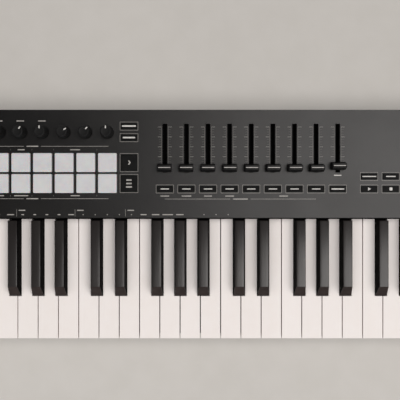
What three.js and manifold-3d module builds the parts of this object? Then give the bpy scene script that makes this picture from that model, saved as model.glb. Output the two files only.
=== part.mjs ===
// A 49-key MIDI keyboard controller in millimetres: +X to the player's right, +Y away from the player
// and +Z up. The origin is the middle of the footprint, on the surface the rubber feet stand on.
import * as THREE from "three";
import { mergeVertices } from "three/addons/utils/BufferGeometryUtils.js";
import Module from "manifold-3d";

const wasm = await Module();
wasm.setup();

// ---- Driving dimensions -------------------------------------------------------------------------
const caseWidth = 790;
const caseDepth = 263;
const panelTop = 60; // upper face of the control panel
const panelThickness = 2.5;
const wall = 2.5; // casing walls
const innerWall = 2;
const cornerRadius = 6; // of the casing in plan
const partingZ = 30; // where the upper and lower casings meet
const footHeight = 4;
const fit = 0.3; // gap left between pieces that touch

const whitePitch = 23.5; // an octave of seven is 164.5
const whiteCount = 29;
const keyGap = 1.15;
const rightCheek = 9; // casing beside the highest key
const whiteTop = 44.5;
const whiteFront = -caseDepth / 2 + 0.5;
const panelFront = 9; // front edge of the control panel, above the keys
const blackRise = 12.3; // black key tops stand this far above the white ones
const blackFront = -81.2;
const blackWidth = 13.5;
const blackSlotHalf = 7.25; // half the room between two white tails
const pivotY = 62;
const pivotZ = 36;
const pivotRadius = 2.2;

const grid = 24.5; // pitch of pads, knobs, faders and button columns
const padColumn1 = -266.7;
const padRows = [71.6, 47.9];
const padSize = [21.1, 21.5];
const sceneColumn = -70.9; // the column of buttons right of the pads
const knobRow = 105.8;
const fader1 = -30.3;
const faderTravel = 45;
const faderLow = 65.5; // cap centre at the lower stop
const ninthFaderRise = 2.2; // the ninth fader is stored this far above its stop
const slotWidth = 5.4;
const smallButton = [18.4, 6.6];
const squareButton = [18.4, 18];
const transport1 = 201.3;
const pairRows = [113, 99.9]; // the two small buttons level with the knobs
const faderButtonRow = 41.7;
const transportRows = [55.9, faderButtonRow];
const functionStep = 31.3; // from the left square buttons to the function buttons
const buttonTop = panelTop + 1;

const halfWidth = caseWidth / 2;
const halfDepth = caseDepth / 2;
const keysRight = halfWidth - rightCheek;
const keysLeft = keysRight - whiteCount * whitePitch;
const panelUnder = panelTop - panelThickness;
const floorTop = footHeight + wall;

// ---- Materials ----------------------------------------------------------------------------------
const material = (color, roughness, metalness = 0) =>
  new THREE.MeshStandardMaterial({ color, roughness, metalness });
const casingPlastic = material(0x2b2a29, 0.55);
const basePlastic = material(0x1b1b1b, 0.65);
const ivoryPlastic = material(0xe9e4e0, 0.3);
const blackKeyPlastic = material(0x1d1b1a, 0.4);
const padSilicone = material(0xcfcfd1, 0.6);
const buttonRubber = material(0x121212, 0.7);
const knobRubber = material(0x151515, 0.6);
const faderPlastic = material(0x161616, 0.45);
const wheelRubber = material(0x171717, 0.7);
const windowPlastic = material(0x050506, 0.1);
const boardLaminate = material(0x14502e, 0.5);
const chassisPlastic = material(0x55575a, 0.6);
const footRubber = material(0x202020, 0.85);

// ---- Solids -------------------------------------------------------------------------------------
function solidOf(geometry) {
  geometry.deleteAttribute("normal");
  geometry.deleteAttribute("uv");
  const merged = mergeVertices(geometry, 1e-3);
  return new wasm.Manifold(
    new wasm.Mesh({
      numProp: 3,
      vertProperties: merged.attributes.position.array,
      triVerts: new Uint32Array(merged.index.array),
    }),
  );
}

function geometryOf(solid) {
  const made = solid.getMesh();
  const geometry = new THREE.BufferGeometry();
  geometry.setAttribute("position", new THREE.BufferAttribute(made.vertProperties, 3));
  geometry.setIndex(new THREE.BufferAttribute(made.triVerts, 1));
  geometry.computeVertexNormals();
  return geometry;
}

const join = (solids) => solids.reduce((whole, solid) => whole.add(solid));
const cut = (solid, tools) => tools.reduce((whole, tool) => whole.subtract(tool), solid);

// A box between two values on each axis.
function box([x0, x1], [y0, y1], [z0, z1]) {
  const geometry = new THREE.BoxGeometry(x1 - x0, y1 - y0, z1 - z0);
  geometry.translate((x0 + x1) / 2, (y0 + y1) / 2, (z0 + z1) / 2);
  return solidOf(geometry);
}

// A box of a given size around a centre in plan.
const boxAt = (x, y, [width, depth], heights) =>
  box([x - width / 2, x + width / 2], [y - depth / 2, y + depth / 2], heights);

// A box whose upper face has its own extents.
function taperedBox(lower, upper, [z0, z1]) {
  const geometry = new THREE.BoxGeometry(1, 1, 1);
  const position = geometry.attributes.position;
  for (let i = 0; i < position.count; i++) {
    const high = position.getZ(i) > 0;
    const [xs, ys] = high ? upper : lower;
    const right = position.getX(i) > 0 ? 1 : 0;
    const far = position.getY(i) > 0 ? 1 : 0;
    position.setXYZ(i, xs[right], ys[far], high ? z1 : z0);
  }
  return solidOf(geometry);
}

// A profile drawn in Y and Z, extruded along X.
function bar(profile, [x0, x1]) {
  const shape = new THREE.Shape(profile.map(([y, z]) => new THREE.Vector2(y, z)));
  const geometry = new THREE.ExtrudeGeometry(shape, { depth: x1 - x0, bevelEnabled: false });
  const axes = new THREE.Matrix4().makeBasis(
    new THREE.Vector3(0, 1, 0),
    new THREE.Vector3(0, 0, 1),
    new THREE.Vector3(1, 0, 0),
  );
  return solidOf(geometry.applyMatrix4(axes).translate(x0, 0, 0));
}

// A round bar along X, Y or Z, between two values on that axis.
function rod(axis, radius, [a, b], [u, v], sides = 12) {
  const geometry = new THREE.CylinderGeometry(radius, radius, b - a, sides);
  const middle = (a + b) / 2;
  if (axis === "x") geometry.rotateZ(Math.PI / 2).translate(middle, u, v);
  if (axis === "y") geometry.translate(u, middle, v);
  if (axis === "z") geometry.rotateX(Math.PI / 2).translate(u, v, middle);
  return solidOf(geometry);
}

// A turned shape about a vertical axis at x, y, from [radius, z] points.
function turned(profile, sides, x, y) {
  const points = profile.map(([radius, z]) => new THREE.Vector2(radius, z));
  const geometry = new THREE.LatheGeometry(points, sides).rotateX(Math.PI / 2);
  return solidOf(geometry.translate(x, y, 0));
}

// An upright block over the whole footprint, with rounded corners in plan.
function footprint([z0, z1]) {
  const [x, y, r] = [halfWidth - cornerRadius, halfDepth - cornerRadius, cornerRadius];
  const shape = new THREE.Shape();
  shape.absarc(x, y, r, 0, Math.PI / 2);
  shape.absarc(-x, y, r, Math.PI / 2, Math.PI);
  shape.absarc(-x, -y, r, Math.PI, 1.5 * Math.PI);
  shape.absarc(x, -y, r, 1.5 * Math.PI, 2 * Math.PI);
  const settings = { depth: z1 - z0, bevelEnabled: false, curveSegments: 4 };
  return solidOf(new THREE.ExtrudeGeometry(shape, settings).translate(0, 0, z0));
}

const keyboard = new THREE.Group();

function add(name, solid, finish) {
  const mesh = new THREE.Mesh(geometryOf(solid), finish);
  mesh.name = name;
  keyboard.add(mesh);
}

// ---- Layout of the keys -------------------------------------------------------------------------
const letters = ["C", "D", "E", "F", "G", "A", "B"];
const firstOctave = 2;
// Each black key stands near the joint above this white key, moved by this much.
const blackShift = { C: -2.25, D: 2.25, F: -2.7, G: 0.4, A: 3.6 };

const whiteKeys = Array.from({ length: whiteCount }, (_, i) => ({
  letter: letters[i % 7],
  octave: firstOctave + Math.floor(i / 7),
  left: keysLeft + i * whitePitch,
}));
const blackKeys = whiteKeys
  .slice(0, -1)
  .filter(({ letter }) => letter in blackShift)
  .map(({ letter, octave, left }) => ({
    letter,
    octave,
    x: left + whitePitch + blackShift[letter],
  }));

// ---- White keys: hollow shells with a front lip, hooked over the pivot rail at the back ---------
const whiteSkirt = 10.5; // depth of the side walls
const whiteLip = 20; // depth of the front wall
const keyWall = 1.8;
const keyRoof = 2.2;
const frontWall = 2;
const shoulderGap = 0.9; // between a white shoulder and the front of the black key
const pocketEnd = 50; // the hollow stops here, ahead of the hinge block
const whiteRoofEnd = 56; // the full height of a white tail stops here, under the panel
const hingeBlock = [52, 70];
const whiteTailEnd = 75;
const whiteHinge = [31, 39.5]; // heights of the white hinge block
const blackHinge = [33, 40];
const pivotPlay = 0.6; // round the pivot rail, so that a key can be hooked over it
const hingeNotch = [pivotY - pivotRadius - pivotPlay, pivotY + pivotRadius + pivotPlay];
const notchTop = pivotZ + pivotRadius + pivotPlay;

function whiteKey({ left, letter, octave }) {
  const x0 = left + keyGap / 2;
  const x1 = left + whitePitch - keyGap / 2;
  const blackAt = (l) => blackKeys.find((b) => b.letter === l && b.octave === octave);
  const before = blackAt(letters[letters.indexOf(letter) - 1]);
  const after = blackAt(letter);
  const tail0 = before ? before.x + blackSlotHalf : x0;
  const tail1 = after ? after.x - blackSlotHalf : x1;
  const shoulder = blackFront - shoulderGap;
  const skirtBottom = whiteTop - whiteSkirt;
  const heights = [skirtBottom, whiteTop];
  const body = join([
    box([x0, x1], [whiteFront, shoulder], heights),
    box([tail0, tail1], [shoulder - keyWall, whiteRoofEnd], heights),
    box([tail0, tail1], [hingeBlock[0], whiteTailEnd], whiteHinge),
    box([x0, x1], [whiteFront, whiteFront + frontWall], [whiteTop - whiteLip, skirtBottom + keyWall]),
  ]);
  const hollow = [skirtBottom - 1, whiteTop - keyRoof];
  return cut(body, [
    box([x0 + keyWall, x1 - keyWall], [whiteFront + frontWall, shoulder - keyWall], hollow),
    box([tail0 + keyWall, tail1 - keyWall], [shoulder - 2 * keyWall, pocketEnd], hollow),
    box([tail0 - 1, tail1 + 1], hingeNotch, [whiteHinge[0] - 1, notchTop]),
  ]);
}

// ---- Black keys: tapered caps with a sloping front ----------------------------------------------
const blackTopHalf = 5.3;
const blackSlope = 11.7; // how far back the top starts
const blackCapEnd = panelFront - 3.3; // the cap stops short of the lip of the control panel
const blackBottom = 36;
const blackTop = whiteTop + blackRise;
const blackTailHalf = 5;
const blackTailTop = 45;
const blackFrontWall = 3; // thickness behind the sloping front
const skirtOverlap = 0.5; // the upright skirt rises this far into the tapered cap

function blackKey({ x }) {
  const half = blackWidth / 2;
  const around = (h) => [x - h, x + h];
  const capHollowEnd = blackCapEnd - blackFrontWall;
  const tailHollow = [blackBottom - 1, blackTailTop - keyRoof];
  const body = join([
    box(around(half), [blackFront, blackCapEnd], [blackBottom, whiteTop + skirtOverlap]),
    taperedBox(
      [around(half), [blackFront, blackCapEnd]],
      [around(blackTopHalf), [blackFront + blackSlope, blackCapEnd]],
      [whiteTop, blackTop],
    ),
    box(around(blackTailHalf), [blackCapEnd - 1, hingeBlock[1]], [blackBottom, blackTailTop]),
    box(around(blackTailHalf), hingeBlock, blackHinge),
  ]);
  return cut(body, [
    taperedBox(
      [around(half - keyWall), [blackFront + blackFrontWall, capHollowEnd]],
      [around(blackTopHalf - keyWall), [blackFront + blackSlope + keyWall, capHollowEnd]],
      [blackBottom - 1, blackTop - keyRoof],
    ),
    box(around(blackTailHalf - keyWall), [capHollowEnd - 1, pocketEnd], tailHollow),
    box(around(blackTailHalf + 1), hingeNotch, [blackHinge[0] - 1, notchTop]),
  ]);
}

// The keys of the two middle octaves are separate pieces.
// Those of each outer octave are moulded in sets, joined by a bar behind the pivot.
const isMiddle = ({ octave }) => octave === 3 || octave === 4;
const span = (xs, margin) => [Math.min(...xs) - margin, Math.max(...xs) + margin];

const whiteJoiner = [hingeBlock[1] + 2, whiteTailEnd];
const blackJoiner = [hingeBlock[1] - 4, hingeBlock[1]];
const joinerOverhang = 2; // past the middle of the outermost black key
const blackJoinerLow = 41.5;

function whiteSet(keys) {
  const ends = span(keys.map(({ left }) => left + whitePitch / 2), whitePitch / 2 - 1);
  return join([...keys.map(whiteKey), box(ends, whiteJoiner, whiteHinge)]);
}

function blackSet(keys) {
  const ends = span(keys.map(({ x }) => x), joinerOverhang);
  return join([...keys.map(blackKey), box(ends, blackJoiner, [blackJoinerLow, blackTailTop])]);
}

const isLow = ({ octave }) => octave < 3;
const isHigh = ({ octave }) => octave > 4;
whiteKeys.filter(isMiddle).forEach((key) => {
  add(`white_key_${key.letter}${key.octave}`, whiteKey(key), ivoryPlastic);
});
blackKeys.filter(isMiddle).forEach((key) => {
  add(`black_key_${key.letter}s${key.octave}`, blackKey(key), blackKeyPlastic);
});
add("white_key_set_low", whiteSet(whiteKeys.filter(isLow)), ivoryPlastic);
add("white_key_set_high", whiteSet(whiteKeys.filter(isHigh)), ivoryPlastic);
add("black_key_set_low", blackSet(blackKeys.filter(isLow)), blackKeyPlastic);
add("black_key_set_high", blackSet(blackKeys.filter(isHigh)), blackKeyPlastic);

// ---- Keybed: moulded chassis with the pivot rail, its supports, the stop rail and key guides ----
const bedInset = 2; // from the ends of the keyboard
const bedLeft = keysLeft + bedInset;
const bedRight = keysRight - bedInset;
const bedFront = -121;
const bedBack = 80;
const bedTop = 13;
const bedThickness = 2;
const bedUnder = bedTop - bedThickness;
const stopRail = [-112, -104];
const stopTop = 24.3;
const guideSize = [7, 3]; // of the post inside the front of each white key
const guideTop = 32;
const railSides = 8;
const endSupport = 1.2; // thickness of the supports at both ends of the pivot rail
const sideRoom = 0.45; // beside each support between two keys

function keybedChassis() {
  const besideBlack = blackKeys.filter(({ letter }) => letter === "C" || letter === "F");
  const webs = besideBlack.map(({ x }) => [x - blackSlotHalf + sideRoom, x - blackTailHalf - sideRoom]);
  const ends = [[bedLeft, bedLeft + endSupport], [bedRight - endSupport, bedRight]];
  const underRail = [pivotY - pivotRadius, pivotY + pivotRadius];
  const supports = [...ends, ...webs].map((xs) => box(xs, underRail, [bedUnder + 1, pivotZ]));
  const guideY = (stopRail[0] + stopRail[1]) / 2;
  const guides = whiteKeys.map(({ left }) =>
    boxAt(left + whitePitch / 2, guideY, guideSize, [bedTop, guideTop]),
  );
  return join([
    box([bedLeft, bedRight], [bedFront, bedBack], [bedUnder, bedTop]),
    box([bedLeft, bedRight], stopRail, [bedUnder + 1, stopTop]),
    rod("x", pivotRadius, [bedLeft, bedRight], [pivotY, pivotZ], railSides),
    ...supports,
    ...guides,
  ]);
}

const boardThickness = 1.6; // of every printed circuit board
const contactBoard = [-72, -36];
const contactDomes = [-62, -46];
const contactInset = 4;
const domeRise = 8;

// The board under the keys, with a silicone strip of contact domes along it.
function keyContactBoard() {
  const low = bedTop + fit;
  const along = (inset) => [bedLeft + inset, bedRight - inset];
  return join([
    box(along(contactInset), contactBoard, [low, low + boardThickness]),
    box(along(2 * contactInset), contactDomes, [low + 1, low + domeRise]),
  ]);
}

add("keybed_chassis", keybedChassis(), chassisPlastic);
add("key_contact_board", keyContactBoard(), boardLaminate);

// ---- Layout of the controls ---------------------------------------------------------------------
const columns = (first, count) => Array.from({ length: count }, (_, i) => first + i * grid);
const padXs = columns(padColumn1, 8);
const leftColumnX = padColumn1 - grid;
const faderXs = columns(fader1, 9);
const transportXs = columns(transport1, 4);
const functionXs = columns(leftColumnX - functionStep - 2 * grid, 3);
const functionRows = [padRows[0], (padRows[0] + padRows[1]) / 2, padRows[1]];

const button = (x, y, size) => ({ x, y, size });
const pairOf = (x) => pairRows.map((y) => button(x, y, smallButton));
const squaresOf = (x) => padRows.map((y) => button(x, y, squareButton));
const leftButtons = [
  ...pairOf(leftColumnX),
  ...squaresOf(leftColumnX),
  ...functionXs.flatMap((x) => functionRows.map((y) => button(x, y, smallButton))),
];
const centreButtons = [
  ...pairOf(sceneColumn),
  ...squaresOf(sceneColumn),
  ...faderXs.map((x) => button(x, faderButtonRow, smallButton)),
];
const transportButtons = transportXs.flatMap((x) =>
  transportRows.map((y) => button(x, y, smallButton)),
);

const displaySize = [76, 27];
const displayX = functionXs[1];
const displayY = 103;
const wheelRadius = 28;
const wheelWidth = 14;
const wheelXs = [-368, -328];
const wheelY = -44;
const wheelProud = 9; // the wheels stand this far above the panel
const wheelZ = panelTop + wheelProud - wheelRadius;
const wheelOpening = [wheelWidth + 2, 46];

// ---- Upper casing: control panel, wheel block and right cheek in one moulding -------------------
const clear = ([width, depth], gap) => [width + 2 * gap, depth + 2 * gap];
const slotLength = faderTravel + 10.4;
const knobHole = 4;
const slotY = faderLow + faderTravel / 2;

function panelPlate() {
  const heights = [panelUnder, panelTop];
  const through = [panelUnder - 1, panelTop + 1];
  const buttons = [...leftButtons, ...centreButtons, ...transportButtons];
  const plate = join([
    box([-halfWidth, halfWidth], [panelFront, halfDepth], heights),
    box([-halfWidth, keysLeft], [-halfDepth, panelFront + 1], heights),
    box([keysRight, halfWidth], [-halfDepth, panelFront + 1], heights),
  ]);
  return cut(plate, [
    ...padXs.flatMap((x) => padRows.map((y) => boxAt(x, y, clear(padSize, fit), through))),
    ...buttons.map(({ x, y, size }) => boxAt(x, y, clear(size, fit), through)),
    ...faderXs.map((x) => boxAt(x, slotY, [slotWidth, slotLength], through)),
    ...padXs.map((x) => rod("z", knobHole, through, [x, knobRow])),
    boxAt(displayX, displayY, clear(displaySize, fit), through),
    ...wheelXs.map((x) => boxAt(x, wheelY, wheelOpening, through)),
  ]);
}

const lipBottom = blackTailTop + 1; // the panel's front lip ends just above the keys
const boardZ = 46.5; // underside of the main board
const boardTop = boardZ + boardThickness;
const cheekReach = 20; // the walls beside the keys run this far under the panel
const bossRadius = 3;
// Bosses that the main board is screwed to, in the free places between the controls.
const bossPlaces = [
  [-242, 90],
  [-144, 90],
  [-48, 110],
  [184, 90],
  [283, 90],
];

function upperCasing() {
  const skirt = [partingZ, panelUnder + 1];
  const cheekEnds = [-halfDepth, panelFront + cheekReach];
  const bossHeights = [boardTop + fit, panelUnder + 1];
  const bosses = bossPlaces.map((place) => rod("z", bossRadius, bossHeights, place));
  return join([
    panelPlate(),
    box([-halfWidth, halfWidth], [halfDepth - wall, halfDepth], skirt),
    box([-halfWidth, -halfWidth + wall], [-halfDepth, halfDepth], skirt),
    box([halfWidth - wall, halfWidth], [-halfDepth, halfDepth], skirt),
    box([-halfWidth, keysLeft], [-halfDepth, -halfDepth + wall], skirt),
    box([keysRight, halfWidth], [-halfDepth, -halfDepth + wall], skirt),
    box([keysLeft - innerWall, keysLeft], cheekEnds, skirt),
    box([keysRight, keysRight + innerWall], cheekEnds, skirt),
    box([keysLeft, keysRight], [panelFront, panelFront + innerWall], [lipBottom, panelUnder + 1]),
    ...bosses,
  ]).intersect(footprint([partingZ - 1, panelTop + 1]));
}

add("top_casing", upperCasing(), casingPlastic);

// ---- Sockets in the back ------------------------------------------------------------------------
const socketZ = 18;
const socketFace = halfDepth - fit; // the outer face of the plate that the sockets open through
const usb = { x: -330, opening: [8.6, 8], depth: 13, body: [12, 18], rise: 6 };
const midi = { x: -290, radius: 7.8, depth: 11, body: [20, 16], rise: 9.5 };
const pedal = { x: -250, radius: 3.4, depth: 33, body: [15, 36], rise: 7 };
const plateMargin = 16; // from the outer sockets to the ends of the plate
const plateEnds = [usb.x - plateMargin, pedal.x + plateMargin];
const plateLow = 8;
const lockSlot = { x: -365, width: 7, height: 3 };

// ---- Lower casing: tray with the wheel stands ---------------------------------------------------
const sillTop = 13; // the wall in front of the keys is low
const innerSill = { near: -126.5, far: -124.5, top: 23.5 }; // a second wall behind the key fronts
const bedRibs = [-90, -10, 70];
const bedRibHalf = 1;
const bedRibInset = 10;
const standOffset = 11; // from the middle of a wheel to each of its stands
const standSize = [3, 14];
const standRise = 2; // above the axle
const axleSlot = { width: 7, below: 3.5 };

function lowerCasing() {
  const rise = [footHeight, partingZ - fit];
  const across = [keysLeft - 1, keysRight + 1];
  const shell = join([
    box([-halfWidth, halfWidth], [-halfDepth, halfDepth], [footHeight, floorTop]),
    box([-halfWidth, halfWidth], [halfDepth - wall, halfDepth], rise),
    box([-halfWidth, -halfWidth + wall], [-halfDepth, halfDepth], rise),
    box([halfWidth - wall, halfWidth], [-halfDepth, halfDepth], rise),
    box([-halfWidth, keysLeft], [-halfDepth, -halfDepth + wall], rise),
    box([keysRight, halfWidth], [-halfDepth, -halfDepth + wall], rise),
    box(across, [-halfDepth, -halfDepth + wall], [footHeight, sillTop]),
    box(across, [innerSill.near, innerSill.far], [floorTop - 1, innerSill.top]),
    box([keysLeft - innerWall, keysLeft], [-halfDepth, panelFront], rise),
    box([keysRight, keysRight + innerWall], [-halfDepth, panelFront], rise),
  ]);
  const underBed = [floorTop - 1, bedUnder - fit];
  const ribs = bedRibs.map((y) =>
    box([bedLeft + bedRibInset, bedRight - bedRibInset], [y - bedRibHalf, y + bedRibHalf], underBed),
  );
  const standXs = wheelXs.flatMap((x) => [x - standOffset, x + standOffset]);
  const slotSize = [standSize[0] + 1, axleSlot.width];
  const slotHeights = [wheelZ - axleSlot.below, wheelZ + standRise + 1];
  const stands = standXs.map((x) =>
    cut(boxAt(x, wheelY, standSize, [floorTop - 1, wheelZ + standRise]), [
      boxAt(x, wheelY, slotSize, slotHeights),
    ]),
  );
  const backWall = [halfDepth - 2 * wall, halfDepth + 1];
  const lockXs = [lockSlot.x - lockSlot.width / 2, lockSlot.x + lockSlot.width / 2];
  const openings = [
    box(plateEnds, backWall, [plateLow, partingZ]),
    box(lockXs, backWall, [socketZ - lockSlot.height / 2, socketZ + lockSlot.height / 2]),
  ];
  return cut(join([shell, ...ribs, ...stands]), openings).intersect(footprint([0, partingZ]));
}

add("bottom_casing", lowerCasing(), basePlastic);

const socketBoardDepth = 40;
const midiSides = 12;
const pedalSides = 8;

// The board with the three sockets, behind the plate that fills the notch in the back wall.
function socketBoard() {
  const boardLow = plateLow + 1;
  const boardHeights = [boardLow, boardLow + boardThickness];
  const plateXs = [plateEnds[0] + fit, plateEnds[1] - fit];
  const body = ({ x, body: [width, depth], rise }) =>
    box(
      [x - width / 2, x + width / 2],
      [socketFace - depth, socketFace - 1],
      [boardLow + 1, socketZ + rise],
    );
  const blind = (depth) => [socketFace - depth, socketFace + 1];
  const [usbWidth, usbHeight] = usb.opening;
  const usbHeights = [socketZ - usbHeight / 2, socketZ + usbHeight / 2];
  return cut(
    join([
      box(plateXs, [socketFace - socketBoardDepth, socketFace - 1], boardHeights),
      box(plateXs, [socketFace - wall, socketFace], [plateLow + fit, partingZ - 2 * fit]),
      body(usb),
      body(midi),
      body(pedal),
    ]),
    [
      box([usb.x - usbWidth / 2, usb.x + usbWidth / 2], blind(usb.depth), usbHeights),
      rod("y", midi.radius, blind(midi.depth), [midi.x, socketZ], midiSides),
      rod("y", pedal.radius, blind(pedal.depth), [pedal.x, socketZ], pedalSides),
    ],
  );
}

add("socket_board", socketBoard(), boardLaminate);

// ---- Main circuit board under the control panel -------------------------------------------------
const potTop = 53.5; // top of the fader and knob potentiometers
const faderPotSize = [9, slotLength + 5];
const knobPotSize = [10, 11];
const displayModule = [80, 30];
const displayModuleTop = panelUnder - 1.5;
const boardEnds = [leftColumnX - 93, transport1 + 3.6 * grid];
const boardDepths = [30, 124];

function mainBoard() {
  const seat = boardTop - 0.5; // components reach into the board, which makes them one body
  return join([
    box(boardEnds, boardDepths, [boardZ, boardTop]),
    ...faderXs.map((x) => boxAt(x, slotY, faderPotSize, [seat, potTop])),
    ...padXs.map((x) => boxAt(x, knobRow, knobPotSize, [seat, potTop])),
    boxAt(displayX, displayY, displayModule, [seat, displayModuleTop]),
  ]);
}

add("main_circuit_board", mainBoard(), boardLaminate);

const lensSunk = 0.2; // below the face of the panel
const lensFlange = { margin: 2, thickness: 0.9 };

// The clear lens over the display, held from below by its flange.
function displayWindow() {
  const flangeTop = panelUnder - fit;
  const flangeLow = flangeTop - lensFlange.thickness;
  return join([
    boxAt(displayX, displayY, displaySize, [flangeLow, panelTop - lensSunk]),
    boxAt(displayX, displayY, clear(displaySize, lensFlange.margin), [flangeLow, flangeTop]),
  ]);
}

add("display_window", displayWindow(), windowPlastic);

// ---- Silicone mats: pads and buttons standing on a thin web behind the panel --------------------
const webHeights = [54.6, 55.8];
const webMargin = 0.8; // round the group of buttons on a web
const padTop = panelTop + 2.5;

// The web's block around a group of buttons.
function webAround(buttons) {
  const edges = (axis, side) => buttons.map((b) => b[axis ? "y" : "x"] + (side * b.size[axis]) / 2);
  const [xs, ys] = [0, 1].map((axis) => [
    Math.min(...edges(axis, -1)) - webMargin,
    Math.max(...edges(axis, 1)) + webMargin,
  ]);
  return box(xs, ys, webHeights);
}

function mat(groups, buttons, top) {
  const caps = buttons.map(({ x, y, size }) => boxAt(x, y, size, [webHeights[1] - 0.5, top]));
  return join([...groups.map(webAround), ...caps]);
}

const pads = padXs.flatMap((x) => padRows.map((y) => button(x, y, padSize)));
const leftGroups = [leftButtons.slice(0, 4), leftButtons.slice(2)];
const centreGroups = [centreButtons.slice(0, 4), centreButtons.slice(3)];
add("pad_mat", mat([pads], pads, padTop), padSilicone);
add("left_button_mat", mat(leftGroups, leftButtons, buttonTop), buttonRubber);
add("centre_button_mat", mat(centreGroups, centreButtons, buttonTop), buttonRubber);
add("transport_button_mat", mat([transportButtons], transportButtons, buttonTop), buttonRubber);

// ---- Knobs: a shaft under a tapering cap with a chamfered edge ----------------------------------
const knobShaft = 3;
const knobFoot = 7.4; // radius at the foot of the cap
const knobHead = 6.4;
const knobTop = panelTop + 17;
const knobLow = panelTop + 1;
const knobShaftLow = potTop + 1;
const knobSides = 14;

const knobProfile = [
  [0, knobShaftLow],
  [knobShaft, knobShaftLow],
  [knobShaft, knobLow],
  [knobFoot, knobLow],
  [knobHead, knobTop - 1],
  [knobHead - 1, knobTop],
  [0, knobTop],
];
padXs.forEach((x, i) => {
  add(`knob_${i + 1}`, turned(knobProfile, knobSides, x, knobRow), knobRubber);
});

// ---- Faders: a cap with a waisted grip on a flat lever ------------------------------------------
const capWidth = 16.2;
const capHalf = 4.6;
const capLow = panelTop + 2;
const capTop = panelTop + 12;
const capCrest = 1.8; // half the depth of the flat on top
const capChamfer = [1, 0.8];
const leverSize = [1.4, 5];
const leverLow = potTop + 0.6;

function fader(x, y) {
  const [chamferDepth, chamferHeight] = capChamfer;
  const near = [
    [-capHalf, capLow],
    [-capHalf, capLow + 2],
    [-capCrest - chamferDepth, capTop - chamferHeight],
    [-capCrest, capTop],
  ];
  const far = near.map(([v, z]) => [-v, z]).reverse();
  const outline = [...near, ...far].map(([v, z]) => [y + v, z]).reverse();
  const cap = bar(outline, [x - capWidth / 2, x + capWidth / 2]);
  return cap.add(boxAt(x, y, leverSize, [leverLow, capLow + 1]));
}

faderXs.forEach((x, i) => {
  const rise = i === 8 ? ninthFaderRise : 0;
  add(`fader_${i + 1}`, fader(x, faderLow + rise), faderPlastic);
});

// ---- Wheels -------------------------------------------------------------------------------------
const wheelSides = 36;
const axleRadius = 3;
const axleReach = 6.5; // past each face of the wheel
const notchRadius = 7;
const notchReach = 4.4; // from the rim out to the centre of the finger notch

// The finger notch leans by an angle away from the player.
function wheel(x, lean) {
  const reach = wheelRadius + notchReach;
  const notch = [wheelY + reach * Math.sin(lean), wheelZ + reach * Math.cos(lean)];
  const centre = [wheelY, wheelZ];
  const across = (extra) => [x - wheelWidth / 2 - extra, x + wheelWidth / 2 + extra];
  const disc = rod("x", wheelRadius, across(0), centre, wheelSides);
  const fingerNotch = rod("x", notchRadius, across(1), notch);
  const axle = rod("x", axleRadius, across(axleReach), centre);
  return disc.subtract(fingerNotch).add(axle);
}

const modulationRest = (-35 * Math.PI) / 180; // at its lower stop the notch is nearest the player
add("pitch_wheel", wheel(wheelXs[0], 0), wheelRubber);
add("modulation_wheel", wheel(wheelXs[1], modulationRest), wheelRubber);

// ---- Rubber feet --------------------------------------------------------------------------------
const footWidth = 12;
const footLength = 700;
const footYs = { front: -108, rear: 112 };
for (const [place, y] of Object.entries(footYs)) {
  add(`${place}_foot_strip`, boxAt(0, y, [footLength, footWidth], [0, footHeight - fit]), footRubber);
}

export default keyboard;
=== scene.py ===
# The looks of a 49-key MIDI keyboard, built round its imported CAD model: metres, +X along the keys to
# the player's right, +Y away from the player, +Z up, with the feet standing on z = 0.
import math

import bmesh
import bpy
from mathutils import Matrix, Vector


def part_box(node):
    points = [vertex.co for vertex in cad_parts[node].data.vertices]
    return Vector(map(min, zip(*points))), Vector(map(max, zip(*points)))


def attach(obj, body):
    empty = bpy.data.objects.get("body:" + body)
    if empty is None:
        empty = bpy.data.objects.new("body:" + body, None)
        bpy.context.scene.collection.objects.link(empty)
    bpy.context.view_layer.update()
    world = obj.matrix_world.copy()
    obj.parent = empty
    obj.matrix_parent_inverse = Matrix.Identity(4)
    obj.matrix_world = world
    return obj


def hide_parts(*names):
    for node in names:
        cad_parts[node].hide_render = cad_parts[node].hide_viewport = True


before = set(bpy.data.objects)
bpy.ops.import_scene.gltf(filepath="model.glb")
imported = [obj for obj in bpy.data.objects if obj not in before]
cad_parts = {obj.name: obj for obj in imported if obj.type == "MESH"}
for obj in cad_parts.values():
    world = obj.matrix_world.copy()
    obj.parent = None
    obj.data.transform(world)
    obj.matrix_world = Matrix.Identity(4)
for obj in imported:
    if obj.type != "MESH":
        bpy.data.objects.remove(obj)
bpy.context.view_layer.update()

MM = 0.001
QUARTER = math.pi / 2
TURN = 2 * math.pi


# ---- Materials -----------------------------------------------------------------------------------

EVEN = (1, 1, 1)
BRUSHED = (1, 4, 1)  # patches four times as long across the keyboard's depth
STREAKED = (1, 8, 1)


def srgb(code):
    """A colour written as a web code, in linear light."""
    parts = [int(code[i : i + 2], 16) / 255 for i in (0, 2, 4)]
    return [(c / 12.92 if c <= 0.04045 else ((c + 0.055) / 1.055) ** 2.4) for c in parts] + [1.0]


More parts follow.
